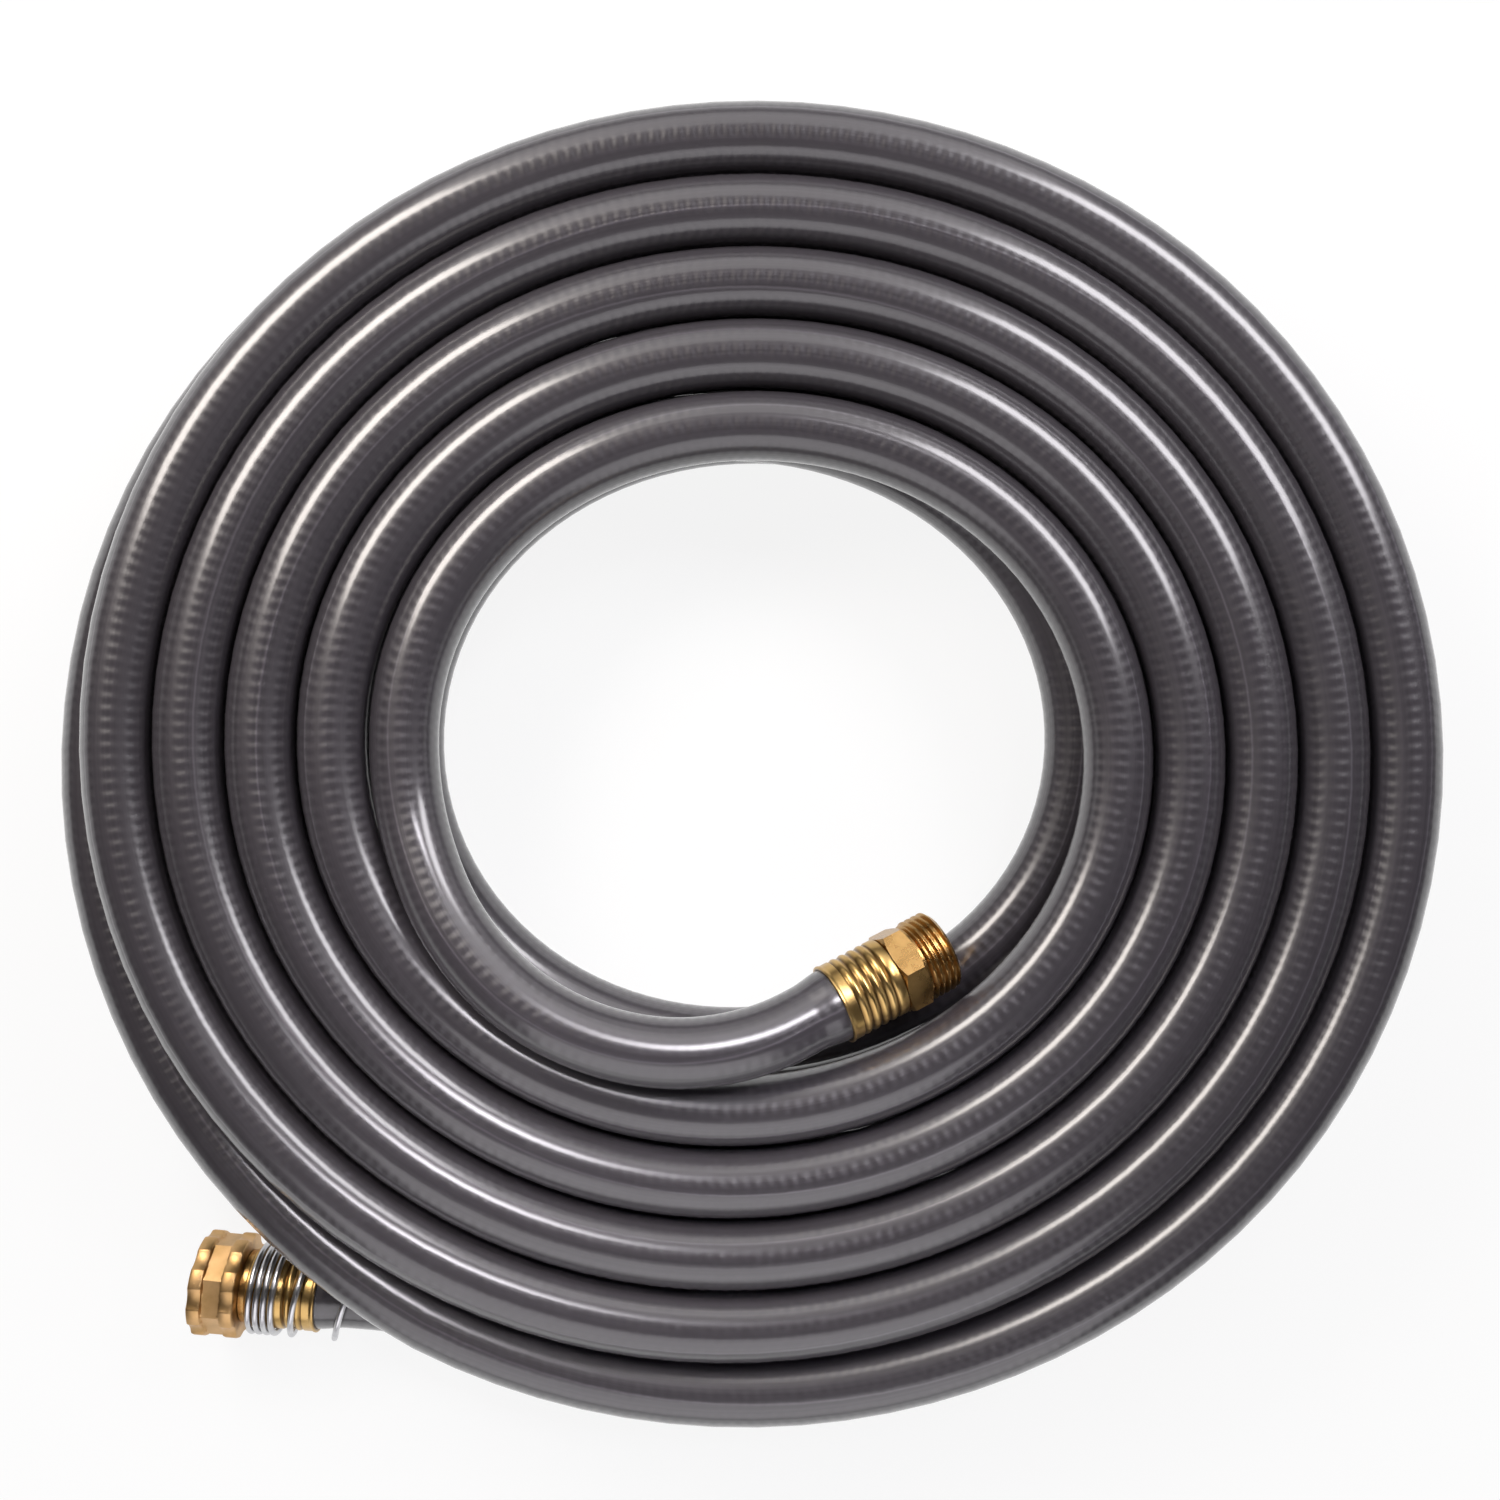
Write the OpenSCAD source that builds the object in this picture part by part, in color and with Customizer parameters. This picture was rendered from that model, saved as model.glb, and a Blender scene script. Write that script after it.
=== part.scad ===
// Rinse hose kit: a 15 m grey hose coiled flat in three layers, with a brass male end inside the coil
// and a brass swivel nut with a spring strain relief outside it.
// Millimetres, +Z up, origin on the ground under the middle of the coil.

/* [Hose] */
// Outside diameter of the hose
hose_od = 22; // [20:0.5:22.5]
// Bore of the hose
hose_bore = 15.9; // [13:0.1:16.2]

/* [Coil] */
// Radius of the innermost turn, to the middle of the hose
coil_inner_r = 104; // [102:1:120]
// Gap left between neighbouring turns of a layer
turn_gap = 1.2; // [1.1:0.1:2]
// Rise from one layer to the next, over the outside of the hose
layer_gap = 0.4; // [0.2:0.1:2]
// How far the coil's plan is pushed out to the left
coil_lean = 4.5; // [0:0.5:6]
// How far the coil's plan is stretched sideways
coil_oval = 5.25; // [0:0.25:7]

/* [Crimped ends] */
// Outside diameter of a ferrule
ferrule_od = 26; // [25.5:0.1:26.4]
// Wall of a ferrule
ferrule_wall = 0.9; // [0.6:0.1:1.2]
// How far a ferrule's rim flares over its sleeve
flare = 0.3; // [0.1:0.1:0.5]
// Outside diameter of the barbed shanks, over the barbs
shank_od = 18.6; // [17.6:0.1:19]
// Water way through both brass ends
water_way = 14.4; // [12:0.1:14.6]
// Height of the barbs
barb_h = 0.6; // [0.3:0.1:0.8]
// Length of the hose's bell behind a ferrule
bell_len = 10; // [8:1:12]

/* [Male end] */
// Length of the male ferrule
male_ferrule_len = 21; // [19:0.5:24]
// Hexagon, across its flats
hex_flats = 25.4; // [25:0.1:27]
// Length of the hexagon
hex_len = 8.5; // [7:0.5:10]
// Outside diameter of the male thread
male_thread_od = 26.9; // [26.7:0.1:27]
// Length of the male thread, with its run-out groove
male_thread_len = 11; // [10:0.5:14.3]

/* [Female end] */
// Length of the female ferrule
female_ferrule_len = 24; // [22:0.5:26]
// Outside diameter of the swivel nut, over its lobes
nut_od = 34.6; // [33.5:0.1:34.8]
// Length of the swivel nut
nut_len = 15.7; // [15:0.1:18]
// Bore of the female thread, over its crests
female_thread_id = 24.8; // [24.4:0.1:25]
// Back wall of the nut
nut_back = 2.6; // [2:0.1:3.5]
// Outside diameter of the tailpiece's neck in the nut
neck_od = 20; // [19:0.1:21]
// Thickness of the hose washer
washer_t = 3; // [2.5:0.1:3.4]
// Outside diameter of the hose washer
washer_od = 25.4; // [24:0.1:25.8]
// Hole of the hose washer
washer_id = 16; // [15:0.1:17]

/* [Spring] */
// Wire of the strain relief spring
wire_d = 2.1; // [1.8:0.1:2.2]
// Gap between the tight turns of the spring
wire_gap = 0.5; // [0.45:0.05:0.7]
// Turns wound tight on the ferrule
tight_turns = 3.45; // [3:0.05:4]
// How fast the open turns spread
spring_spread = 4.5; // [3.5:0.1:4.6]

/* [Hidden] */

$fn = 96;
eps = 0.01;                       // bite of a cutter past the face that it leaves through
hose_r = hose_od / 2;
ferrule_r = ferrule_od / 2;
ferrule_bore_r = ferrule_r - ferrule_wall;
shank_r = shank_od / 2;

// The coil: steps of a loop, steps of each layer from the top down, and of the half turns between them
loop_steps = 24;
top_steps = 110;
middle_steps = 104;
floor_steps = 116;
half = loop_steps / 2;
coil_steps = top_steps + middle_steps + floor_steps + 2 * half;
coil_sides = 6;
tail_sides = 8;
pitch = hose_od + turn_gap;
layer_rise = hose_od + layer_gap;
floor_z = 0.4 * hose_od;          // the lowest layer is pressed flat by a tenth of the hose

// The free stretches, and last the rim of each ferrule: angles round the coil, distances
// outwards and heights. The male end's start from a hose that lies inside the innermost turn, level
// with the top layer, and the female end's from one that lies outside the outermost turn.
male_turns = [-161, -143, -124.5, -104.5, -73.3];
male_outs = [30.5, 28.5, 23.5, 16, 3];
male_ups = [4.5, 12.5, 17.5, 16.5, 6.5];
male_heading = 25;                // in plan
male_dip = 15;                    // below the horizontal
female_turns = [-98.6, -106, -114, -128.6];
female_outs = [-20.5, -18.5, -16.5, 3];
female_ups = [2.2, 4.2, 6.2, 8.7];
female_heading = 175;
female_dip = 0;
lead_in = 12;                     // straight run of a free stretch behind the bell

clear_fit = 0.3;                  // clearance of loose pieces
running = 0.08;                   // running clearance of the nut on the neck, on the radius
face_gap = 0.2;                   // play of the flange and the washer along the nut
collar_len = 2;                   // tailpiece collar that shows between ferrule and nut
collar_r = 12;
flange_len = 2;
flange_r = washer_od / 2;
nut_bore_r = flange_r + 0.6;      // room behind the thread for the flange and the washer
nut_start = female_ferrule_len + collar_len + clear_fit;
flange_start = nut_start + nut_back + face_gap;
washer_start = flange_start + flange_len;
nut_thread_start = washer_start + washer_t + face_gap;
nut_lobes = 8;
nut_wall = 2;
nut_waist_flats = 2 * (nut_bore_r + nut_wall);
nut_valley_r = nut_waist_flats / 2 + 0.5;
nut_scallop_r = 9;
nut_rim_len = 4.8;
nut_chamfer = 0.8;

lip_len = 0.9;                    // ferrule's inward lip, gripped behind the hexagon or the collar
rib_h = 0.45;                     // crimped ridges of the ferrules
rib_pitch = 3.2;
male_ribs = 4;
female_ribs = 2;
rib_start = 6;
flare_len = 1.2;
rib_w = 0.32 * rib_pitch;
male_seat_len = 3.4;              // plain fronts of the ferrules; the female one carries the spring
female_seat_len = 10.5;
barb_pitch = 3.5;
barbs = 4;
shank_back = 1.5;                 // the shank stops this far inside the ferrule's rim
barb_flat = 0.5;                  // straight foot in front of each barb
hex_chamfer = 1.2;
thread_relief_len = 1.2;
thread_relief_depth = 1.2;
thread_chamfer = 0.8;

spring_rings = 8;
spring_turns = 5.9;
wire_sides = 6;
wire_r = wire_d / 2;
spring_front = female_ferrule_len - wire_r;
spring_play = 0.15;
spring_r = (ferrule_r + flare + spring_play + wire_r) / cos(180 / spring_rings);

hose_grey = [0.27, 0.27, 0.29];
brass = [0.80, 0.60, 0.25];
nut_brass = [0.82, 0.58, 0.32];
steel = [0.72, 0.72, 0.74];
rubber = [0.08, 0.08, 0.08];

// ---- Tubes along a route ----

function unit(v) = v / norm(v);

// Direction of the route at each point: the mean of the runs on both sides, or as given at an end
function headings(route, first, last) =
    let (n = len(route) - 1)
    [for (i = [0 : n])
        i == 0 ? first :
        i == n ? last :
        unit(unit(route[i + 1] - route[i]) + unit(route[i] - route[i - 1]))];

// Corners of a ring of radius r round c, square to d, with a flat side down and none below the ground
function ring(c, d, r, sides) =
    let (side = unit(cross(d, [0, 0, 1])), up = cross(side, d))
    [for (k = [0 : sides - 1])
        let (a = 180 / sides - 90 + 360 * k / sides, p = c + r * (cos(a) * side + sin(a) * up))
        [p.x, p.y, max(0, p.z)]];

module tube(route, dirs, r, sides) {
    last = len(route) - 1;
    points = [for (i = [0 : last]) each ring(route[i], dirs[i], r, sides)];
    walls = [for (i = [0 : last - 1], k = [0 : sides - 1])
        let (a = i * sides + k, b = i * sides + (k + 1) % sides)
        each [[a, b, b + sides], [a, b + sides, a + sides]]];
    back = [for (k = [1 : sides - 2]) [0, k + 1, k]];
    front = [for (k = [1 : sides - 2]) [last * sides, last * sides + k, last * sides + k + 1]];
    polyhedron(points, concat(walls, back, front));
}

// ---- The coil's route ----

function ease(u) = (1 - cos(180 * max(0, min(1, u)))) / 2;

// Steps that the spiral has reached outwards: out, in and out again, turning halfway along each half turn
first_turn = top_steps + half / 2;
second_turn = first_turn + middle_steps + half;
function reach(i) =
    i <= first_turn ? i :
    i <= second_turn ? 2 * first_turn - i :
    2 * first_turn - 2 * second_turn + i;

function coil_height(i) =
    floor_z + layer_rise * (2 - ease((i - top_steps) / half)
        - ease((i - top_steps - half - middle_steps) / half));

function coil_point(i) =
    let (a = 180 - 360 * i / loop_steps,
         r = coil_inner_r + pitch * reach(i) / loop_steps - coil_lean * cos(a) + coil_oval * cos(2 * a))
    [r * cos(a), r * sin(a), coil_height(i)];

raw_coil = [for (i = [0 : coil_steps]) coil_point(i)];
coil_xs = [for (p = raw_coil) p.x];
coil_ys = [for (p = raw_coil) p.y];
coil_middle = [max(coil_xs) + min(coil_xs), max(coil_ys) + min(coil_ys), 0] / 2;
coil_route = [for (p = raw_coil) p - coil_middle];
coil_start = coil_route[0];
coil_end = coil_route[coil_steps];
coil_start_dir = unit(coil_route[1] - coil_start);
coil_end_dir = unit(coil_end - coil_route[coil_steps - 1]);
coil_dirs = headings(coil_route, coil_start_dir, coil_end_dir);

// Least gap between turns: corners of each ring to the long edges of the turns beside, above and below
function edge_gap(p, a, b) =
    let (u = max(0, min(1, (p - a) * (b - a) / ((b - a) * (b - a)))))
    norm(p - a - u * (b - a));

module print_coil_gap() {
    rings = [for (i = [0 : coil_steps]) ring(coil_route[i], coil_dirs[i], hose_r, coil_sides)];
    near = 1.5 * hose_od;
    gaps = [for (i = [0 : coil_steps], j = [i + half : 1 : coil_steps - 1])
        if (norm(coil_route[i] - coil_route[j]) < near)
            for (p = rings[i], k = [0 : coil_sides - 1]) edge_gap(p, rings[j][k], rings[j + 1][k])];
    echo(least_gap_of_the_coil = min(gaps));
}

// ---- Placing the brass ends: local +Z runs out of the hose, zero at the ferrule's rim ----

inside_r = coil_inner_r - hose_od;
outside_r = norm([raw_coil[coil_steps].x, raw_coil[coil_steps].y]) + hose_od;

function round_coil(turns, outs, ups, r, z) =
    [for (k = [0 : len(turns) - 1])
        [(r + outs[k]) * cos(turns[k]), (r + outs[k]) * sin(turns[k]), z + ups[k]] - coil_middle];

male_points = round_coil(male_turns, male_outs, male_ups, inside_r, coil_start.z);
female_points = round_coil(female_turns, female_outs, female_ups, outside_r, coil_end.z);
male_place = male_points[len(male_points) - 1];
female_place = female_points[len(female_points) - 1];

function end_dir(heading, dip) = [cos(heading) * cos(dip), sin(heading) * cos(dip), -sin(dip)];

module at_male_end() {
    translate(male_place) rotate([0, 90 + male_dip, male_heading]) children();
}

module at_female_end() {
    translate(female_place) rotate([0, 90 + female_dip, female_heading]) children();
}

male_dir = end_dir(male_heading, male_dip);
female_dir = end_dir(female_heading, female_dip);
male_bell = male_place - bell_len * male_dir;
female_bell = female_place - bell_len * female_dir;

function bends(points) = [for (k = [0 : len(points) - 2]) points[k]];

male_route = concat([coil_start], bends(male_points), [male_bell - lead_in * male_dir, male_bell]);
female_route = concat([coil_end], bends(female_points), [female_bell - lead_in * female_dir, female_bell]);

// ---- Hose ----

module hose_coil() {
    color(hose_grey) tube(coil_route, coil_dirs, hose_r, coil_sides);
    print_coil_gap();  // hose_coil
}

module hose_male_tail() {
    color(hose_grey) tube(male_route, headings(male_route, -coil_start_dir, male_dir), hose_r, tail_sides);
}

module hose_female_tail() {
    color(hose_grey)
        tube(female_route, headings(female_route, coil_end_dir, female_dir), hose_r, tail_sides);
}

// Hollow end of the hose, belled out over the shank and gripped by the ferrule
module hose_end(ferrule_len) {
    inside = ferrule_len - lip_len;
    color(hose_grey) rotate_extrude()
        polygon([
            [hose_bore / 2, -bell_len],
            [hose_r, -bell_len],
            [ferrule_bore_r, 0],
            [ferrule_bore_r, inside],
            [shank_r, inside],
            [shank_r, shank_back]]);
}

module male_hose_end() {
    at_male_end() hose_end(male_ferrule_len);
}

module female_hose_end() {
    at_female_end() hose_end(female_ferrule_len);
}

// ---- Ferrules ----

// Sleeve with a flared rim, ridges from rib_start on, and an inward lip at its front
module ferrule(length, ribs, seat) {
    color(brass) difference() {
        union() {
            cylinder(r1 = ferrule_r + flare, r2 = ferrule_r, h = flare_len);
            cylinder(r = ferrule_r - rib_h, h = length);
            translate([0, 0, flare_len]) cylinder(r = ferrule_r, h = rib_start - rib_pitch / 2 - flare_len);
            for (k = [0 : ribs - 1])
                translate([0, 0, rib_start + k * rib_pitch]) rib();
            translate([0, 0, length - seat]) cylinder(r = ferrule_r, h = seat);
        }
        translate([0, 0, -1]) cylinder(r = ferrule_bore_r, h = length - lip_len + 1);
        cylinder(r = shank_r, h = length + 1);
    }
}

module rib() {
    root = ferrule_bore_r + 0.1;
    rotate_extrude()
        polygon([
            [root, -rib_w],
            [ferrule_r - rib_h, -rib_w],
            [ferrule_r, -rib_w / 2],
            [ferrule_r, rib_w / 2],
            [ferrule_r - rib_h, rib_w],
            [root, rib_w]]);
}

module male_ferrule() {
    at_male_end() ferrule(male_ferrule_len, male_ribs, male_seat_len);
}

module female_ferrule() {
    at_female_end() ferrule(female_ferrule_len, female_ribs, female_seat_len);
}

// ---- Barbed shank, from inside the ferrule's rim to z = length ----

module shank(length) {
    root = shank_r - barb_h;
    cylinder(r = root, h = length - shank_back);
    for (k = [0 : barbs - 1])
        translate([0, 0, k * barb_pitch]) cylinder(r1 = root, r2 = shank_r, h = barb_pitch - barb_flat);
    translate([0, 0, barbs * barb_pitch])
        cylinder(r = shank_r, h = length - shank_back - barbs * barb_pitch);
}

// ---- Male end ----

male_hex_end = male_ferrule_len + hex_len;
male_tip = male_hex_end + male_thread_len;

module male_nipple() {
    at_male_end() color(brass) difference() {
        union() {
            translate([0, 0, shank_back]) shank(male_ferrule_len);
            translate([0, 0, male_ferrule_len]) hexagon();
            translate([0, 0, male_hex_end]) male_thread();
        }
        translate([0, 0, -1]) cylinder(d = water_way, h = male_tip + 2);
    }
}

// Hexagon with both ends turned off round at the corners
module hexagon() {
    corner_r = hex_flats / 2 / cos(30);
    intersection() {
        cylinder(r = corner_r, h = hex_len, $fn = 6);
        rotate_extrude()
            polygon([
                [0, 0],
                [hex_flats / 2, 0],
                [corner_r + eps, hex_chamfer],
                [corner_r + eps, hex_len - hex_chamfer],
                [hex_flats / 2, hex_len],
                [0, hex_len]]);
    }
}

// Envelope of the male thread over its crests, behind it the run-out groove
module male_thread() {
    r = male_thread_od / 2;
    cylinder(r = r - thread_relief_depth, h = thread_relief_len);
    translate([0, 0, thread_relief_len])
        cylinder(r = r, h = male_thread_len - thread_relief_len - thread_chamfer);
    translate([0, 0, male_thread_len - thread_chamfer])
        cylinder(r1 = r, r2 = r - thread_chamfer, h = thread_chamfer);
}

// ---- Female end ----

module female_tailpiece() {
    at_female_end() color(brass) difference() {
        union() {
            translate([0, 0, shank_back]) shank(female_ferrule_len);
            translate([0, 0, female_ferrule_len]) cylinder(r = collar_r, h = collar_len);
            cylinder_between(neck_od / 2, female_ferrule_len, washer_start);
            cylinder_between(flange_r, flange_start, washer_start);
        }
        translate([0, 0, -1]) cylinder(d = water_way, h = washer_start + 2);
    }
}

module cylinder_between(r, from, to) {
    translate([0, 0, from]) cylinder(r = r, h = to - from);
}

module swivel_nut() {
    at_female_end() translate([0, 0, nut_start]) color(nut_brass) difference() {
        nut_body();
        translate([0, 0, -1]) cylinder(r = neck_od / 2 + running, h = nut_len + 2);
        cylinder_between(nut_bore_r, nut_back, nut_thread_start - nut_start);
        cylinder_between(female_thread_id / 2, nut_back, nut_len + eps);
        translate([0, 0, nut_len - nut_chamfer])
            cylinder(r1 = female_thread_id / 2, r2 = female_thread_id / 2 + nut_chamfer + eps,
                     h = nut_chamfer + eps);
    }
}

// Two lobed rims with an eight-sided waist between them
module nut_body() {
    lobed_rim();
    translate([0, 0, nut_len - nut_rim_len]) lobed_rim();
    rotate([0, 0, 180 / nut_lobes])
        cylinder(r = nut_waist_flats / 2 / cos(180 / nut_lobes), h = nut_len, $fn = nut_lobes);
}

module lobed_rim() {
    difference() {
        intersection() {
            cylinder(d = nut_od, h = nut_rim_len);
            rotate_extrude()
                polygon([
                    [0, 0],
                    [nut_od / 2 - nut_chamfer, 0],
                    [nut_od / 2, nut_chamfer],
                    [nut_od / 2, nut_rim_len - nut_chamfer],
                    [nut_od / 2 - nut_chamfer, nut_rim_len],
                    [0, nut_rim_len]]);
        }
        for (k = [0 : nut_lobes - 1])
            rotate([0, 0, 360 * k / nut_lobes]) translate([nut_valley_r + nut_scallop_r, 0, -1])
                cylinder(r = nut_scallop_r, h = nut_rim_len + 2);
    }
}

module hose_washer() {
    at_female_end() translate([0, 0, washer_start]) color(rubber) difference() {
        cylinder(d = washer_od, h = washer_t);
        translate([0, 0, -1]) cylinder(d = washer_id, h = washer_t + 2);
    }
}

// ---- Strain relief spring: tight turns on the ferrule, then open turns along the hose ----

function spring_place(t) =
    spring_front - (wire_d + wire_gap) * t - spring_spread * pow(max(0, t - tight_turns), 2);

function spring_point(t) =
    let (across = cross([0, 0, 1], female_dir), a = 360 * t + 270)
    female_place + spring_place(t) * female_dir
        + spring_r * (cos(a) * across + sin(a) * cross(female_dir, across));

spring_steps = round(spring_turns * spring_rings);
spring_route = [for (i = [0 : spring_steps]) spring_point(i / spring_rings)];

module strain_relief_spring() {
    last = len(spring_route) - 1;
    dirs = headings(spring_route, unit(spring_route[1] - spring_route[0]),
                    unit(spring_route[last] - spring_route[last - 1]));
    color(steel) tube(spring_route, dirs, wire_r, wire_sides);
    gaps = [for (i = [0 : last], j = [i + 4 : 1 : last - 1])
        for (p = ring(spring_route[i], dirs[i], wire_r, wire_sides), k = [0 : wire_sides - 1])
            edge_gap(p, ring(spring_route[j], dirs[j], wire_r, wire_sides)[k],
                     ring(spring_route[j + 1], dirs[j + 1], wire_r, wire_sides)[k])];
    echo(least_gap_of_the_spring = min(gaps));
}

hose_coil();
hose_male_tail();
hose_female_tail();
male_hose_end();
female_hose_end();
male_nipple();
male_ferrule();
female_tailpiece();
swivel_nut();
female_ferrule();
hose_washer();
strain_relief_spring();
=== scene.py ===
import math

import bpy
import numpy as np
from mathutils import Matrix, Vector


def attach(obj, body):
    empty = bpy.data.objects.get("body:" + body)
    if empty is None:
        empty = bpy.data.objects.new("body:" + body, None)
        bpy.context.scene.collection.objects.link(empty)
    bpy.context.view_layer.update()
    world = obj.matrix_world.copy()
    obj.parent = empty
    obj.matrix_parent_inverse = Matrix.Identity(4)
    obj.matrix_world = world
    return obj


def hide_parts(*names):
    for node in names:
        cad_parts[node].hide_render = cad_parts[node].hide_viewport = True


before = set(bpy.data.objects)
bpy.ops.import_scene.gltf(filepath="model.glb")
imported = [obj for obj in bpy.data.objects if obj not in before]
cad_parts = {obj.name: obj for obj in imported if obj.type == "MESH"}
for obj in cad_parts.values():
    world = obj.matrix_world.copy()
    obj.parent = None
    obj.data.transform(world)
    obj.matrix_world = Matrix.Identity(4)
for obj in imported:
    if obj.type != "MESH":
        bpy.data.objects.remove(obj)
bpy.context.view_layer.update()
scene = bpy.context.scene
MM = 0.001

# ---------------------------------------------------------------- camera
cam_data = bpy.data.cameras.new("camera")
cam_data.lens = 35
cam_data.sensor_width = 36
cam = bpy.data.objects.new("camera", cam_data)
scene.collection.objects.link(cam)
cam.location = (0.0003, 0.0058, 0.526)
scene.camera = cam
scene.view_settings.view_transform = "Standard"

# ---------------------------------------------------------------- sizes, as in the CAD, in mm
HOSE_R = 11.0
HOSE_BORE_R = 7.95
BORE_DEPTH = 60             # how far into the hose its bore is drawn, from each shank
BELL = 10.0                 # length over which the hose swells towards the ferrule

# coil: steps of 15 degrees, and the steps that each layer takes
STEPS_PER_TURN = 24
LAYER_STEPS = 116
COIL_STEPS = 354
CLIMB_STEPS = 12            # over which the hose goes from one layer to the next
COIL_R = 104                # centre line of the innermost turn
TURN_PITCH = 23.2
LAYER_PITCH = 22.4
COIL_CENTRE = (2.567, 5.8)

FERRULE_R = 13.0
FERRULE_BORE_R = 12.1
LIP = 0.9                   # thickness of the ferrule's inward lip
RIDGE_START = 6             # first ridge's crest, from the ferrule's rim
RIDGE_PITCH = 3.2
GROOVE = 0.62               # depth of the grooves between the ridges

SHANK_R = 9.3               # brass inside the hose
WATER_R = 7.2               # its bore
FIT = 0.02                  # play between the brass and the hose or ferrule

HEX_START = 21.0
HEX_FLATS = 25.4
HEX_LENGTH = 8.5
SPOUT_R = 12.1
SPOUT_LENGTH = 11.0
MALE_CREST_R = 13.45
MALE_THREAD_DEPTH = 1.35
THREAD_PITCH = 2.209        # 11.5 turns to the inch

NUT_START = 26.3
NUT_LENGTH = 15.7
NUT_RIM = 4.8               # length of each scalloped rim
NUT_R = 17.3
SCALLOP_R = 9.0
SCALLOP_FLOOR = 16.2        # radius at the bottom of a scallop
WAIST_FLATS = 30.6
NUT_SIDES = 8
NECK_HOLE_R = 10.08
SEAT_R = 13.3               # the washer's seat
SEAT_START, SEAT_END = 28.9, 34.3
FEMALE_CREST_R = 12.4
FEMALE_ROOT_R = 13.65
FEMALE_THREAD_DEPTH = 1.25

SPRING_R = 14.5
WIRE_R = 1.05
SPRING_TURNS = 5.9
TIGHT_TURNS = 3.45

MALE = dict(place=(26.993, -75.615, 60.1), heading=25, dip=15, ferrule=21.0, lead=6)
FEMALE = dict(place=(-148.214, -183.08, 17.5), heading=175, dip=0, ferrule=24.0, lead=12)
# points of the free stretches, from the coil out to each end
MALE_BENDS = [(-109.3, -12.3, 56.4), (-104.2, -29.5, 59.2), (-96.5, -45.5, 63.2),
              (-85.8, -59.7, 67.0), (-72.5, -71.7, 70.1), (-56.8, -80.8, 71.7),
              (-39.6, -86.6, 72.0), (-21.6, -88.8, 70.9), (-3.7, -87.2, 68.2)]
FEMALE_BENDS = [(-30.1, -210.2, 11.6), (-58.1, -205.6, 13.2), (-87.8, -196.6, 15.5)]


def end_matrix(end):
    """Local +Z runs out of the hose, zero at the ferrule's rim."""
    heading = Matrix.Rotation(math.radians(end["heading"]), 4, "Z")
    dip = Matrix.Rotation(math.radians(90 + end["dip"]), 4, "Y")
    return Matrix.Translation(Vector(end["place"]) * MM) @ (heading @ dip)


def end_dir(end):
    h, d = math.radians(end["heading"]), math.radians(end["dip"])
    return np.array([math.cos(h) * math.cos(d), math.sin(h) * math.cos(d), -math.sin(d)])


def unit(v):
    return v / np.linalg.norm(v, axis=-1, keepdims=True)


# ---------------------------------------------------------------- the hose's route
def coil_route(sub=4):
    """The coil's centre line: three layers that spiral out, in and out again."""
    i = np.arange(COIL_STEPS * sub + 1) / sub
    a = np.radians(180 - 360 / STEPS_PER_TURN * i)
    reach = np.where(i <= LAYER_STEPS, i, abs(2 * LAYER_STEPS - i))
    oval = -4.5 * np.cos(a) + 5.25 * np.cos(2 * a)
    r = COIL_R + TURN_PITCH * reach / STEPS_PER_TURN + oval

    def descent(step):
        """From 0 to 1 as the hose leaves a layer round this step."""
        u = np.clip((i - (step - CLIMB_STEPS / 2)) / CLIMB_STEPS, 0, 1)
        return (1 - np.cos(np.pi * u)) / 2

    z = HOSE_R + LAYER_PITCH * (2 - descent(LAYER_STEPS) - descent(2 * LAYER_STEPS))
    return np.stack([r * np.cos(a) + COIL_CENTRE[0], r * np.sin(a) + COIL_CENTRE[1], z], 1)


def smooth(points, first, last, step=3.0):
    """Curve of continuous curvature through points, with these unit directions at its ends."""
    P = np.array(points, float)
    h = np.linalg.norm(np.diff(P, axis=0), axis=1)
    n = len(P)
    A, B = np.eye(n), np.zeros((n, 3))
    B[0], B[-1] = first, last
    for k in range(1, n - 1):
        A[k, k - 1:k + 2] = h[k], 2 * (h[k - 1] + h[k]), h[k - 1]
        B[k] = 3 * (h[k] * (P[k] - P[k - 1]) / h[k - 1] + h[k - 1] * (P[k + 1] - P[k]) / h[k])
    T = np.linalg.solve(A, B)
    out = []
    for k in range(n - 1):
        for t in np.linspace(0, 1, max(2, int(h[k] / step)), endpoint=False):
            out.append((2 * t**3 - 3 * t**2 + 1) * P[k] + (t**3 - 2 * t**2 + t) * h[k] * T[k]
                       + (3 * t**2 - 2 * t**3) * P[k + 1] + (t**3 - t**2) * h[k] * T[k + 1])
    return np.array(out)


def hose_path():
    """From inside the male ferrule to inside the female one."""
    coil = coil_route()
    fine = coil_route(200)                          # for the directions at the coil's ends
    tails = []
    for end, bends, start, before in ((MALE, MALE_BENDS, coil[0], fine[1]),
                                      (FEMALE, FEMALE_BENDS, coil[-1], fine[-2])):
        place, d = np.array(end["place"], float), end_dir(end)
        route = [start] + bends + [place - d * (BELL + end["lead"]), place - d * BELL]
        tail = smooth(route, unit(start - before), d)[1:]
        along = np.concatenate([np.linspace(-BELL, 0, 9),
                                np.linspace(1, end["ferrule"] - LIP, 6)])
        tails.append(np.vstack([tail, [place + d * x for x in along]]))
    return np.vstack([tails[0][::-1], coil, tails[1]])


path = hose_path()
run = np.concatenate([[0], np.cumsum(np.linalg.norm(np.diff(path, axis=0), axis=1))])
length = run[-1]


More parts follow.
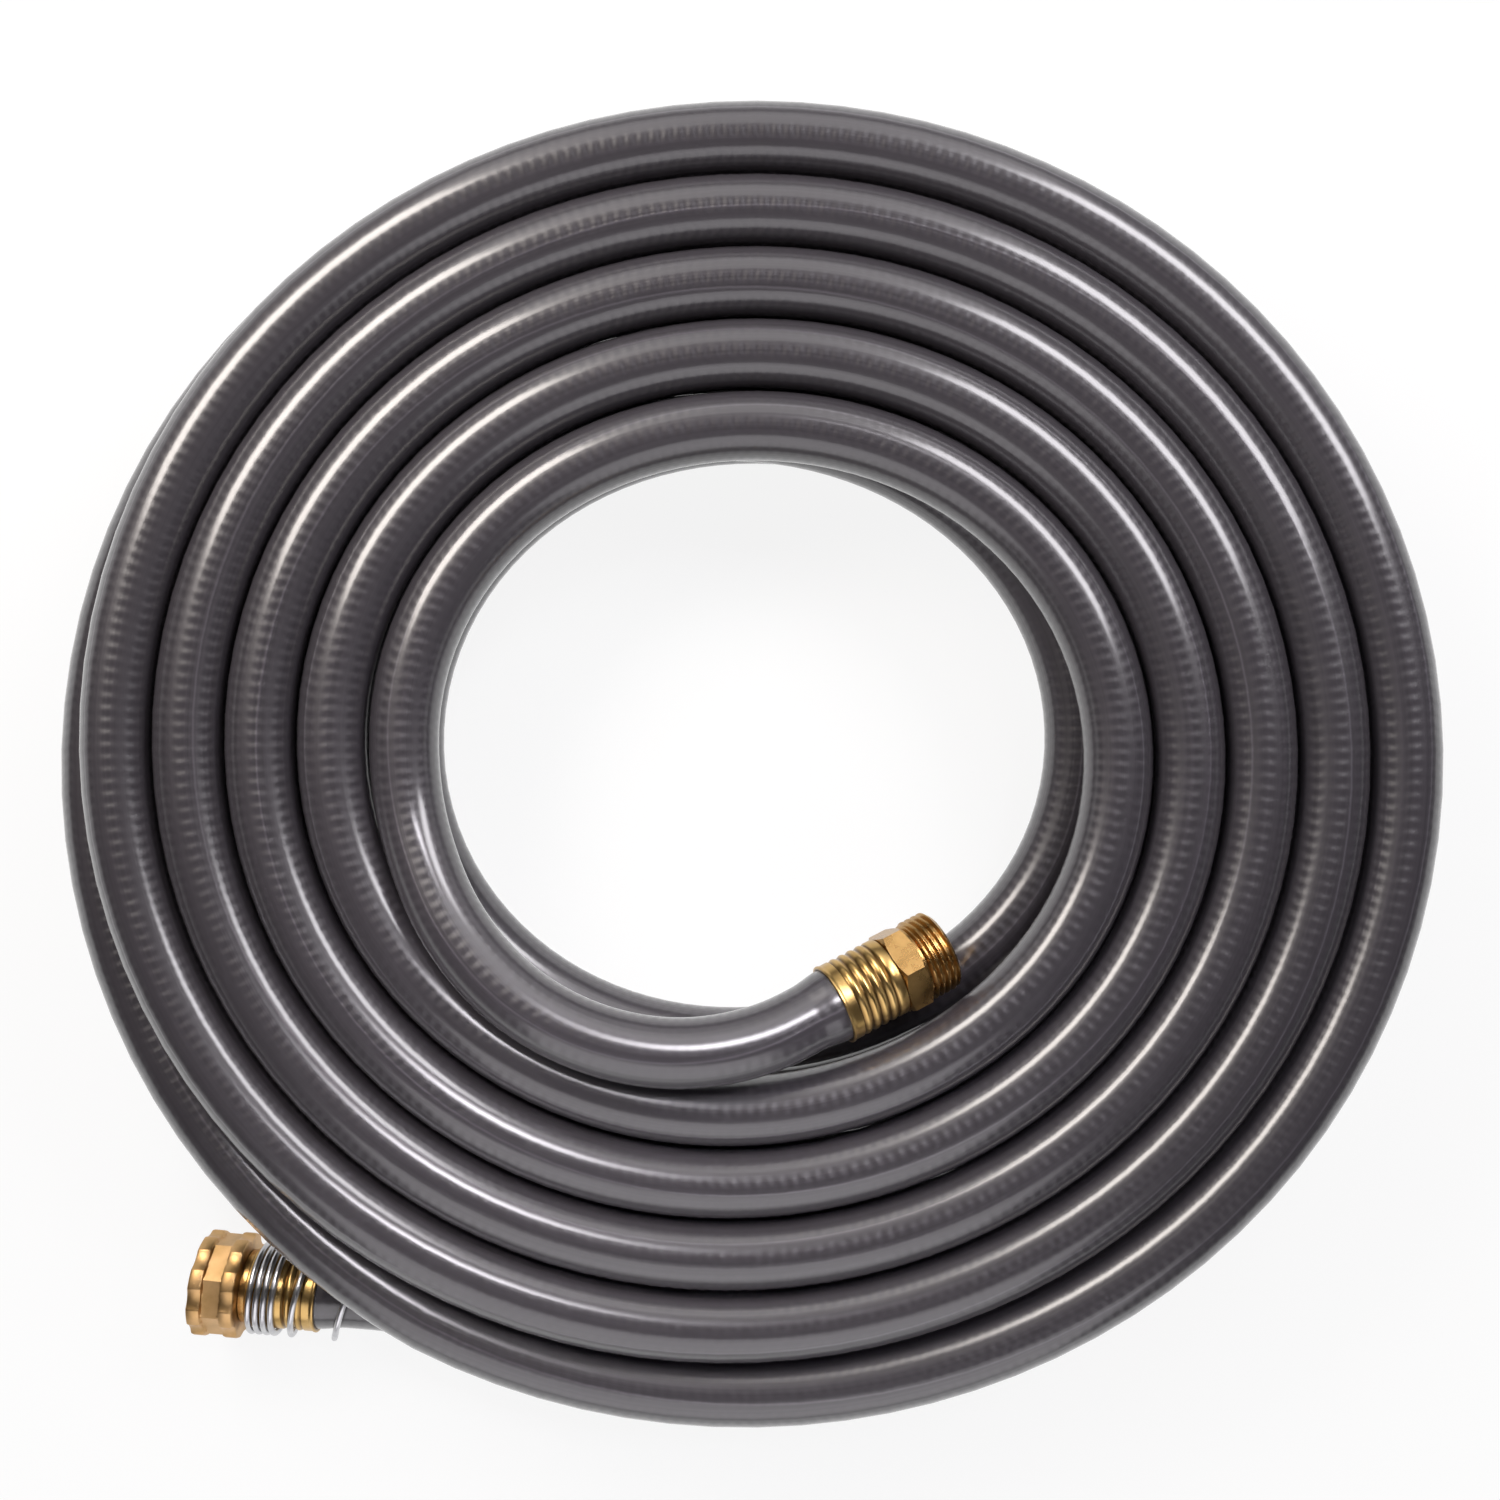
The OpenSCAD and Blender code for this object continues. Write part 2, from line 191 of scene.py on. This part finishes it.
# ---------------------------------------------------------------- mesh helpers
def new_object(name, verts, faces, uvs, sharp):
    """Smooth mesh with UVs, sharp where faces meet at more than this angle in degrees."""
    mesh = bpy.data.meshes.new(name)
    mesh.from_pydata([tuple(v) for v in verts], [], faces)
    layer = mesh.uv_layers.new(name="UVMap")
    layer.data.foreach_set("uv", np.asarray(uvs, float).ravel())
    mesh.shade_smooth()
    mesh.set_sharp_from_angle(angle=math.radians(sharp))
    obj = bpy.data.objects.new(name, mesh)
    scene.collection.objects.link(obj)
    return obj


def shell(name, rings, matrix, closed=True, sharp=35):
    """Rings of equal count, in local mm, joined in order: the last to the first, or else capped."""
    rings = np.asarray(rings, float)
    n, m = rings.shape[:2]
    faces, uvs = [], []
    for i in range(n if closed else n - 1):
        j = (i + 1) % n
        u0, u1 = i / n, (i + 1) / n
        for k in range(m):
            q = (k + 1) % m
            v0, v1 = k / m, (k + 1) / m
            faces.append((i * m + k, i * m + q, j * m + q, j * m + k))
            uvs += [(u0, v0), (u0, v1), (u1, v1), (u1, v0)]
    if not closed:
        faces.append(tuple(reversed(range(m))))
        faces.append(tuple((n - 1) * m + k for k in range(m)))
        uvs += [(0, 0)] * (2 * m)
    obj = new_object(name, rings.reshape(-1, 3) * MM, faces, uvs, sharp)
    obj.matrix_world = matrix
    return obj


def turned(sections, m=256):
    """Rings of m points from sections (z, radius), where either may be a function of the angle."""
    at = lambda value, t: value(t) if callable(value) else value
    angles = [2 * math.pi * k / m for k in range(m)]
    return [[(at(r, t) * math.cos(t), at(r, t) * math.sin(t), at(z, t)) for t in angles]
            for z, r in sections]


def polygon_radius(t, flats, n, first):
    """Outline of an n-sided prism across its flats; first is the angle of one corner."""
    w = 2 * math.pi / n
    return flats / 2 / math.cos((t - first) % w - w / 2)


def thread_radius(z, t, major, depth):
    """Radius of a right-hand 60 degree thread with flat crest and root."""
    f = (z / THREAD_PITCH - t / (2 * math.pi)) % 1.0
    d = abs(f - 0.5) * 2                            # 0 at the crest, 1 at the root
    return major - depth * min(1.0, max(0.0, (d - 0.2) / 0.6))


# ---------------------------------------------------------------- node helpers
class Mat:
    """The node tree of a new material, or of the world."""

    def __init__(self, name, world=None):
        self.mat = world or bpy.data.materials.new(name)
        self.mat.use_nodes = True
        self.tree = self.mat.node_tree
        self.tree.nodes.clear()
        output = "ShaderNodeOutputWorld" if world else "ShaderNodeOutputMaterial"
        self.out = self.tree.nodes.new(output)

    def set_input(self, socket, value):
        if isinstance(value, bpy.types.NodeSocket):
            self.tree.links.new(value, socket)
        else:
            socket.default_value = value

    def node(self, kind, inputs=None, **props):
        n = self.tree.nodes.new("ShaderNode" + kind)
        for k, v in props.items():
            setattr(n, k, v)
        for k, v in (inputs or {}).items():
            self.set_input(n.inputs[k], v)
        return n

    def math(self, op, a, b=0.0, c=0.0):
        return self.node("Math", {0: a, 1: b, 2: c}, operation=op).outputs[0]

    def stretch(self, vector, scale):
        return self.node("Mapping", {0: vector, 3: scale}).outputs[0]

    def noise(self, vector, scale, detail):
        values = {"Vector": vector, "Scale": scale, "Detail": detail}
        return self.node("TexNoise", values).outputs[0]

    def length(self, vector):
        return self.node("VectorMath", {0: vector}, operation="LENGTH").outputs["Value"]

    def fade(self, value, start, end, at_start, at_end):
        """Goes from at_start to at_end while value goes from start to end."""
        return self.node("MapRange", {"Value": value, "From Min": start, "From Max": end,
                                      "To Min": at_start, "To Max": at_end}).outputs[0]

    def ramp(self, value, low, high, dark, light):
        n = self.node("ValToRGB", {0: value})
        for el, position, colour in zip(n.color_ramp.elements, (low, high), (dark, light)):
            el.position = position
            el.color = (*colour, 1)
        return n.outputs[0]

    def mix(self, fac, a, b):
        n = self.node("Mix", data_type="RGBA")
        self.set_input(n.inputs[0], fac)
        for socket, colour in ((n.inputs[6], a), (n.inputs[7], b)):
            self.set_input(socket, (*colour, 1) if isinstance(colour, tuple) else colour)
        return n.outputs[2]

    def bump(self, strength, distance, height):
        values = {"Strength": strength, "Distance": distance, "Height": height}
        return self.node("Bump", values).outputs[0]

    def principled(self, **values):
        """Principled surface; a socket's name is written with _ for each space."""
        inputs = {k.replace("_", " "): v for k, v in values.items()}
        return self.surface(self.node("BsdfPrincipled", inputs))

    def surface(self, shader):
        self.tree.links.new(shader.outputs[0], self.out.inputs[0])
        return self.mat


# ---------------------------------------------------------------- materials
RIPPLE = 0.0039             # length of a braid ripple, in m along the hose
RIPPLE_ROWS = 9             # crossings of the braid round the hose
SEAM_DRIFT = 3.3            # m of hose in which the seam wanders to both sides and back
# dark brown painted into the grooves between the ferrule's ridges as shade
GROOVE_PAINTED_SHADE = (0.15, 0.085, 0.03)


def hose_material():
    """Satin vinyl: the braid shows as fine cross ripples, with a seam that wanders."""
    m = Mat("hose_vinyl")
    uv = m.node("UVMap", uv_map="UVMap").outputs[0]
    sep = m.node("SeparateXYZ", {0: uv})
    u, v = sep.outputs[0], sep.outputs[1]

    warp = m.noise(m.stretch(uv, (9, 5, 1)), 1.0, 2.0)
    along = m.math("MULTIPLY_ADD", u, 2 * math.pi / RIPPLE, m.math("MULTIPLY", warp, 5.0))
    around = m.math("MULTIPLY", v, 2 * math.pi * RIPPLE_ROWS)
    braid = m.math("ADD", m.math("SINE", m.math("ADD", along, around)),
                   m.math("SINE", m.math("SUBTRACT", along, around)))
    patch = m.noise(m.stretch(uv, (70, 14, 1)), 1.0, 3.0)
    rings = m.math("MULTIPLY", m.math("SINE", along), 0.062)
    ripple = m.math("MULTIPLY_ADD", braid, 0.025, rings)
    ripple = m.math("MULTIPLY", ripple, m.math("MULTIPLY_ADD", patch, 1.5, 0.25))

    grain = m.noise(m.stretch(uv, (900, 60, 1)), 1.0, 2.0)
    drawn = m.noise(m.stretch(uv, (2.5, 60, 1)), 1.0, 4.0)
    wander = m.math("SINE", m.math("MULTIPLY", u, 2 * math.pi / SEAM_DRIFT))
    seam_v = m.math("ADD", m.math("MULTIPLY", wander, 0.10), 0.25)
    off = m.math("ABSOLUTE", m.math("SUBTRACT", v, seam_v))
    seam = m.fade(off, 0.0, 0.008, 1.0, 0.0)

    height = ripple
    for relief, amount in ((seam, 0.05), (drawn, 0.10), (grain, 0.012)):
        height = m.math("ADD", height, m.math("MULTIPLY", relief, amount))
    colour = m.ramp(drawn, 0.25, 0.75, (0.031, 0.028, 0.033), (0.047, 0.042, 0.050))
    colour = m.mix(m.math("MULTIPLY", seam, 0.45), colour, (0.12, 0.11, 0.13))
    return m.principled(Base_Color=colour, Roughness=m.math("MULTIPLY_ADD", patch, 0.14, 0.36),
                        Normal=m.bump(1.0, 0.001, height), IOR=1.5,
                        Coat_Weight=1.0, Coat_Roughness=0.19, Coat_IOR=1.6)


def brass_material(name, light, dark, rough, turning, crest=None):
    """Mottled brass with fine turning marks.

    crest is the radius of the ridges in mm, and with it the grooves between them get painted shade.
    """
    m = Mat(name)
    co = m.node("TexCoord").outputs["Object"]
    mottle = m.noise(co, 160.0, 3.0)
    fine = m.noise(m.stretch(co, (300, 300, 6000)), 1.0, 1.0)
    colour = m.ramp(mottle, 0.3, 0.7, dark, light)
    if crest:
        radius = m.length(m.stretch(co, (1, 1, 0)))
        # painted shade: the grooves between the ridges turn dark brown, darkest at the groove floor
        off_groove_share = m.fade(radius, (crest - GROOVE) * MM, (crest - 0.1) * MM, 0.0, 1.0)
        colour = m.mix(off_groove_share, GROOVE_PAINTED_SHADE, colour)
    return m.principled(Base_Color=colour, Roughness=m.math("MULTIPLY_ADD", mottle, 0.12, rough),
                        Metallic=1.0, Normal=m.bump(turning, 0.00002, fine))


def grained_material(name, scale, detail, dark, light, strength, distance, **shader):
    """One colour with a fine grain in it and in the surface."""
    m = Mat(name)
    grain = m.noise(m.node("TexCoord").outputs["Object"], scale, detail)
    return m.principled(Base_Color=m.ramp(grain, 0.3, 0.7, dark, light),
                        Normal=m.bump(strength, distance, grain), **shader)


HOSE = hose_material()
FERRULE = brass_material("pressed_brass", (0.64, 0.43, 0.17), (0.48, 0.30, 0.10),
                         0.24, 0.0, FERRULE_R)
MACHINED = brass_material("machined_brass", (0.52, 0.32, 0.12), (0.36, 0.21, 0.075), 0.22, 0.06)
NUT = brass_material("tumbled_brass", (0.66, 0.42, 0.20), (0.46, 0.28, 0.11), 0.36, 0.10)
STEEL = grained_material("drawn_steel", 350.0, 4.0, (0.50, 0.50, 0.52), (0.62, 0.62, 0.63),
                         0.2, 0.00002, Roughness=0.28, Metallic=1.0)
RUBBER = grained_material("washer_rubber", 600.0, 5.0, (0.018, 0.018, 0.018), (0.03, 0.03, 0.03),
                          0.3, 0.00004, Roughness=0.6)


def dress(obj, mat, body):
    obj.data.materials.clear()
    obj.data.materials.append(mat)
    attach(obj, body)


# ---------------------------------------------------------------- hose
def hose_sections():
    """(position along the path, radius): bore, step over the shank, gripped end, bell, run."""
    m_in, f_in = MALE["ferrule"] - LIP, FEMALE["ferrule"] - LIP
    depth = np.maximum(np.minimum(run - m_in, length - run - f_in), 0)
    t = np.clip(1 - depth / BELL, 0, 1)
    radius = HOSE_R + (FERRULE_BORE_R - HOSE_R) * t * t * (3 - 2 * t)

    sections = [(s, HOSE_BORE_R) for s in np.linspace(m_in + BORE_DEPTH, m_in - 1.5, 12)]
    sections += [(m_in - 1.6, SHANK_R), (0.3, SHANK_R), (0.0, SHANK_R + 0.3),
                 (0.0, FERRULE_BORE_R - 0.3), (0.3, FERRULE_BORE_R)]
    sections += [(s, r) for s, r in zip(run, radius) if 0.5 < s < length - 0.5]
    sections += [(length - 0.3, FERRULE_BORE_R), (length, FERRULE_BORE_R - 0.3),
                 (length, SHANK_R + 0.3), (length - 0.3, SHANK_R), (length - f_in + 1.6, SHANK_R)]
    sections += [(s, HOSE_BORE_R)
                 for s in np.linspace(length - f_in + 1.5, length - f_in - BORE_DEPTH, 12)]
    return sections


def hose_mesh(sides=28):
    """One tube with real hollow ends. U is the distance along it in m, V goes round it."""
    tangent = unit(np.gradient(path, run, axis=0))
    side = unit(np.cross(tangent, [0, 0, 1.0]))
    up = np.cross(side, tangent)
    a = np.arange(sides) * 2 * np.pi / sides
    verts, us = [], []
    for s, r in hose_sections():
        at = lambda track: np.array([np.interp(s, run, track[:, k]) for k in range(3)])
        x, y = unit(at(side)), unit(at(up))
        verts.append(at(path) + r * (np.cos(a)[:, None] * x + np.sin(a)[:, None] * y))
        us.append(s * MM)
    faces, uvs = [], []
    for i in range(len(us) - 1):
        for k in range(sides):
            q = (k + 1) % sides
            faces.append((i * sides + k, (i + 1) * sides + k, (i + 1) * sides + q, i * sides + q))
            v0, v1 = k / sides, (k + 1) / sides
            uvs += [(us[i], v0), (us[i + 1], v0), (us[i + 1], v1), (us[i], v1)]
    last = (len(us) - 1) * sides
    faces.append(tuple(range(sides)))
    faces.append(tuple(last + k for k in reversed(range(sides))))
    uvs += [(0, 0)] * (2 * sides)
    return new_object("hose", np.concatenate(verts) * MM, faces, uvs, 50)


hose = hose_mesh()
dress(hose, HOSE, "hose")
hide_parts("hose_coil", "hose_male_tail", "hose_female_tail", "male_hose_end", "female_hose_end")

# ---------------------------------------------------------------- ferrules
male_m, female_m = end_matrix(MALE), end_matrix(FEMALE)


def ferrule_sections(front, ribs):
    """Rolled rim, plain band, rounded ridges with narrower grooves, plain front, inward lip."""
    R, B = FERRULE_R, FERRULE_BORE_R
    pts = [(0.0, B + 0.05), (0.0, R - 0.05), (0.15, R + 0.25), (0.45, R + 0.3), (0.85, R + 0.22),
           (1.2, R + 0.02), (1.7, R - 0.02), (4.0, R - 0.02)]
    end = RIDGE_START + RIDGE_PITCH * ribs - RIDGE_PITCH / 2
    for z in np.arange(4.2, end + 0.05, 0.16):
        wave = (1 + math.cos(2 * math.pi * (z - RIDGE_START) / RIDGE_PITCH)) / 2
        pts.append((z, R - GROOVE + 0.68 * wave ** 0.8))
    pts += [(end + 0.2, R - 0.5), (end + 0.4, R - 0.16), (end + 0.7, R)]
    pts += [(front - 0.9, R), (front - 0.35, R - 0.15), (front - 0.05, R - 0.55), (front, R - 1.0)]
    pts += [(front, SHANK_R), (front - LIP, SHANK_R), (front - LIP, B)]
    return pts


male_ferrule = shell("male_ferrule_shell", turned(ferrule_sections(MALE["ferrule"], 4)), male_m)
dress(male_ferrule, FERRULE, "hose")
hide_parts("male_ferrule")
female_ferrule = shell("female_ferrule_shell", turned(ferrule_sections(FEMALE["ferrule"], 2)),
                       female_m)
dress(female_ferrule, FERRULE, "hose")
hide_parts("female_ferrule")


# ---------------------------------------------------------------- male end
def male_nipple_sections():
    """Barbed shank, hexagon with turned corners, and the threaded spout in front of it."""
    half = HEX_FLATS / 2
    corner = lambda t: polygon_radius(t, HEX_FLATS, 6, 0)
    cut = lambda t: (corner(t) - half) / 1.73       # the corners are turned at 30 degrees
    front = HEX_START + HEX_LENGTH
    tip = front + SPOUT_LENGTH
    sections = [(1.5, WATER_R), (1.5, SHANK_R - 0.8)]
    for k in range(4):
        sections += [(1.6 + 3.5 * k, SHANK_R - 0.6), (4.5 + 3.5 * k, SHANK_R - FIT)]
    sections += [(15.6, SHANK_R - FIT), (HEX_START, SHANK_R - FIT), (HEX_START, half - 0.1),
                 (lambda t: HEX_START + cut(t), corner), (lambda t: front - cut(t), corner),
                 (front, half - 0.1), (front, SPOUT_R), (front + 0.9, SPOUT_R)]
    for z in np.arange(front + 1.0, tip - 0.05, 0.11):
        lead = min(MALE_CREST_R, SPOUT_R + max(0, z - front - 0.9) * 1.6,
                   SPOUT_R + 0.05 + max(0, tip - z) * 1.1)
        thread = lambda t, z=z: thread_radius(z, t, MALE_CREST_R, MALE_THREAD_DEPTH)
        sections.append((z, lambda t, lead=lead, thread=thread: min(lead, thread(t))))
    return sections + [(tip, SPOUT_R), (tip, WATER_R + 0.5), (tip - 0.5, WATER_R)]


nipple = shell("male_threaded_end", turned(male_nipple_sections(), 180), male_m, sharp=28)
dress(nipple, MACHINED, "hose")
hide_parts("male_nipple")


# ---------------------------------------------------------------- swivel nut
def scalloped(t):
    """Outline of a rim: a circle with eight round hollows."""
    centre = SCALLOP_FLOOR + SCALLOP_R
    w = 2 * math.pi / NUT_SIDES
    a = (t + w / 2) % w - w / 2
    q = SCALLOP_R ** 2 - (centre * math.sin(a)) ** 2
    return min(NUT_R, centre * math.cos(a) - math.sqrt(q)) if q > 0 else NUT_R


def waist(t):
    return polygon_radius(t, WAIST_FLATS, NUT_SIDES, math.pi / NUT_SIDES)


def nut_sections():
    """Two scalloped rims, an eight-sided waist, a thread inside and the washer's seat."""
    front = NUT_START + NUT_LENGTH
    rim = [(0, lambda t: scalloped(t) - 0.75), (0.28, lambda t: scalloped(t) - 0.22),
           (0.8, scalloped), (NUT_RIM - 0.8, scalloped),
           (NUT_RIM - 0.25, lambda t: scalloped(t) - 0.25),
           (NUT_RIM, lambda t: max(scalloped(t) - 0.85, waist(t))),
           (NUT_RIM + 0.25, lambda t: waist(t) + 0.03), (NUT_RIM + 0.6, waist)]
    sections = [(NUT_START, NECK_HOLE_R)]
    sections += [(NUT_START + z, r) for z, r in rim]
    sections += [(front - z, r) for z, r in reversed(rim)]
    sections.append((front, 13.2))
    for z in np.arange(front - 0.05, SEAT_END + 0.05, -0.12):
        mouth = max(FEMALE_CREST_R, 13.25 - (front - z))
        cut = lambda t, z=z: thread_radius(z, t, FEMALE_ROOT_R, FEMALE_THREAD_DEPTH)
        sections.append((z, lambda t, mouth=mouth, cut=cut: max(
            mouth, FEMALE_ROOT_R - (cut(t) - FEMALE_CREST_R))))
    return sections + [(SEAT_END, SEAT_R), (SEAT_START, SEAT_R), (SEAT_START, NECK_HOLE_R)]


nut = shell("swivel_nut_body", turned(nut_sections(), 384), female_m, sharp=28)
dress(nut, NUT, "swivel")
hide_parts("swivel_nut")


# ---------------------------------------------------------------- spring
def spring_rings(n=560, sides=14):
    """Tight turns on the ferrule, then open turns along the hose; the wire's ends are rounded."""
    t = np.linspace(0, SPRING_TURNS, n)
    start = FEMALE["ferrule"] - WIRE_R
    z = start - 2.6 * t - 4.5 * np.maximum(0, t - TIGHT_TURNS) ** 2
    a = 2 * np.pi * t
    centre = np.stack([SPRING_R * np.cos(a), SPRING_R * np.sin(a), z], 1)
    tangent = unit(np.gradient(centre, axis=0))
    out = unit(centre * [1, 1, 0])
    across = np.cross(tangent, out)
    wire = WIRE_R * np.minimum(1, 0.25 + np.minimum(t, SPRING_TURNS - t) / 0.006)
    b = (np.arange(sides) * 2 * np.pi / sides)[None, :, None]
    return centre[:, None, :] + wire[:, None, None] * (
        np.cos(b) * out[:, None, :] + np.sin(b) * across[:, None, :])


spring = shell("relief_spring", spring_rings(), female_m, closed=False, sharp=60)
dress(spring, STEEL, "hose")
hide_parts("strain_relief_spring")

# ---------------------------------------------------------------- hidden CAD pieces
for node, mat in (("female_tailpiece", MACHINED), ("hose_washer", RUBBER)):
    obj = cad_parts[node]
    obj.data.materials.clear()
    obj.data.materials.append(mat)


# ---------------------------------------------------------------- floor, world and lamps
def floor(half=4.0):
    """Pale floor that keeps a soft shadow near the object, and is plain white further out."""
    mesh = bpy.data.meshes.new("floor")
    corners = [(-half, -half, 0), (half, -half, 0), (half, half, 0), (-half, half, 0)]
    mesh.from_pydata(corners, [], [(0, 1, 2, 3)])
    obj = bpy.data.objects.new("floor", mesh)
    obj.location.z = -0.0003
    scene.collection.objects.link(obj)
    m = Mat("floor_white")
    ray = m.node("LightPath").outputs
    seen = m.math("MAXIMUM", ray["Is Camera Ray"], ray["Is Glossy Ray"])
    seen = m.math("MAXIMUM", seen, ray["Is Transmission Ray"])
    diffuse = m.node("BsdfDiffuse", {"Color": (0.86, 0.86, 0.86, 1)})
    glow = m.node("Emission", {"Color": (1, 1, 1, 1), "Strength": 1.0})
    share = m.fade(m.length(m.node("TexCoord").outputs["Object"]), 0.26, 0.5, 0.87, 1.0)
    mix = m.node("MixShader", {0: m.math("MULTIPLY", seen, share), 1: diffuse.outputs[0],
                               2: glow.outputs[0]})
    mesh.materials.append(m.surface(mix))


def studio():
    """White world, as over a table seen from above, but dark overhead in what the object mirrors."""
    world = bpy.data.worlds.new("studio")
    scene.world = world
    m = Mat("studio", world)
    ray = m.node("LightPath").outputs
    up = m.node("SeparateXYZ", {0: m.node("TexCoord").outputs["Generated"]}).outputs["Z"]
    low = m.fade(up, 0.05, 0.22, 1.0, 0.0)
    seen = m.math("MAXIMUM", ray["Is Camera Ray"], ray["Is Transmission Ray"])
    seen = m.math("MAXIMUM", seen, m.math("MULTIPLY", ray["Is Glossy Ray"], low))
    fill = m.node("Background", {"Color": (1, 1, 1, 1), "Strength": 0.015})
    white = m.node("Background", {"Color": (1, 1, 1, 1), "Strength": 1.0})
    m.surface(m.node("MixShader", {0: seen, 1: fill.outputs[0], 2: white.outputs[0]}))


def softbox(name, azimuth, reach, height, w, h, watts, tint, aim=(0, 0, 0.05), spread=180):
    """Rectangular lamp, its long side level, aimed at the coil's middle unless told otherwise."""
    data = bpy.data.lights.new(name, "AREA")
    data.shape = "RECTANGLE"
    data.size, data.size_y = w, h
    data.energy = watts
    data.color = tint
    data.spread = math.radians(spread)
    obj = bpy.data.objects.new(name, data)
    a = math.radians(azimuth)
    obj.location = (math.cos(a) * reach, math.sin(a) * reach, height)
    obj.rotation_euler = (Vector(aim) - obj.location).to_track_quat("-Z", "Y").to_euler()
    obj.visible_camera = False
    scene.collection.objects.link(obj)


floor()
studio()
softbox("softbox_far_left", 137, 0.46, 0.46, 0.33, 0.19, 3.1, (1.0, 0.93, 0.87))
softbox("softbox_far_right", 43, 0.46, 0.46, 0.35, 0.18, 2.4, (0.99, 0.96, 1.0))
softbox("soft_panel_near", 266, 0.52, 0.38, 0.75, 0.5, 1.9, (1.0, 0.97, 1.0))
softbox("soft_panel_far", 90, 0.55, 0.42, 0.7, 0.4, 1.1, (1.0, 0.98, 0.98))
softbox("gridded_lamp_above_male_end", 60, 0.226, 0.6, 0.22, 0.22, 0.07, (0.98, 0.94, 1.0),
        aim=(-0.02, -0.085, 0.07), spread=22)
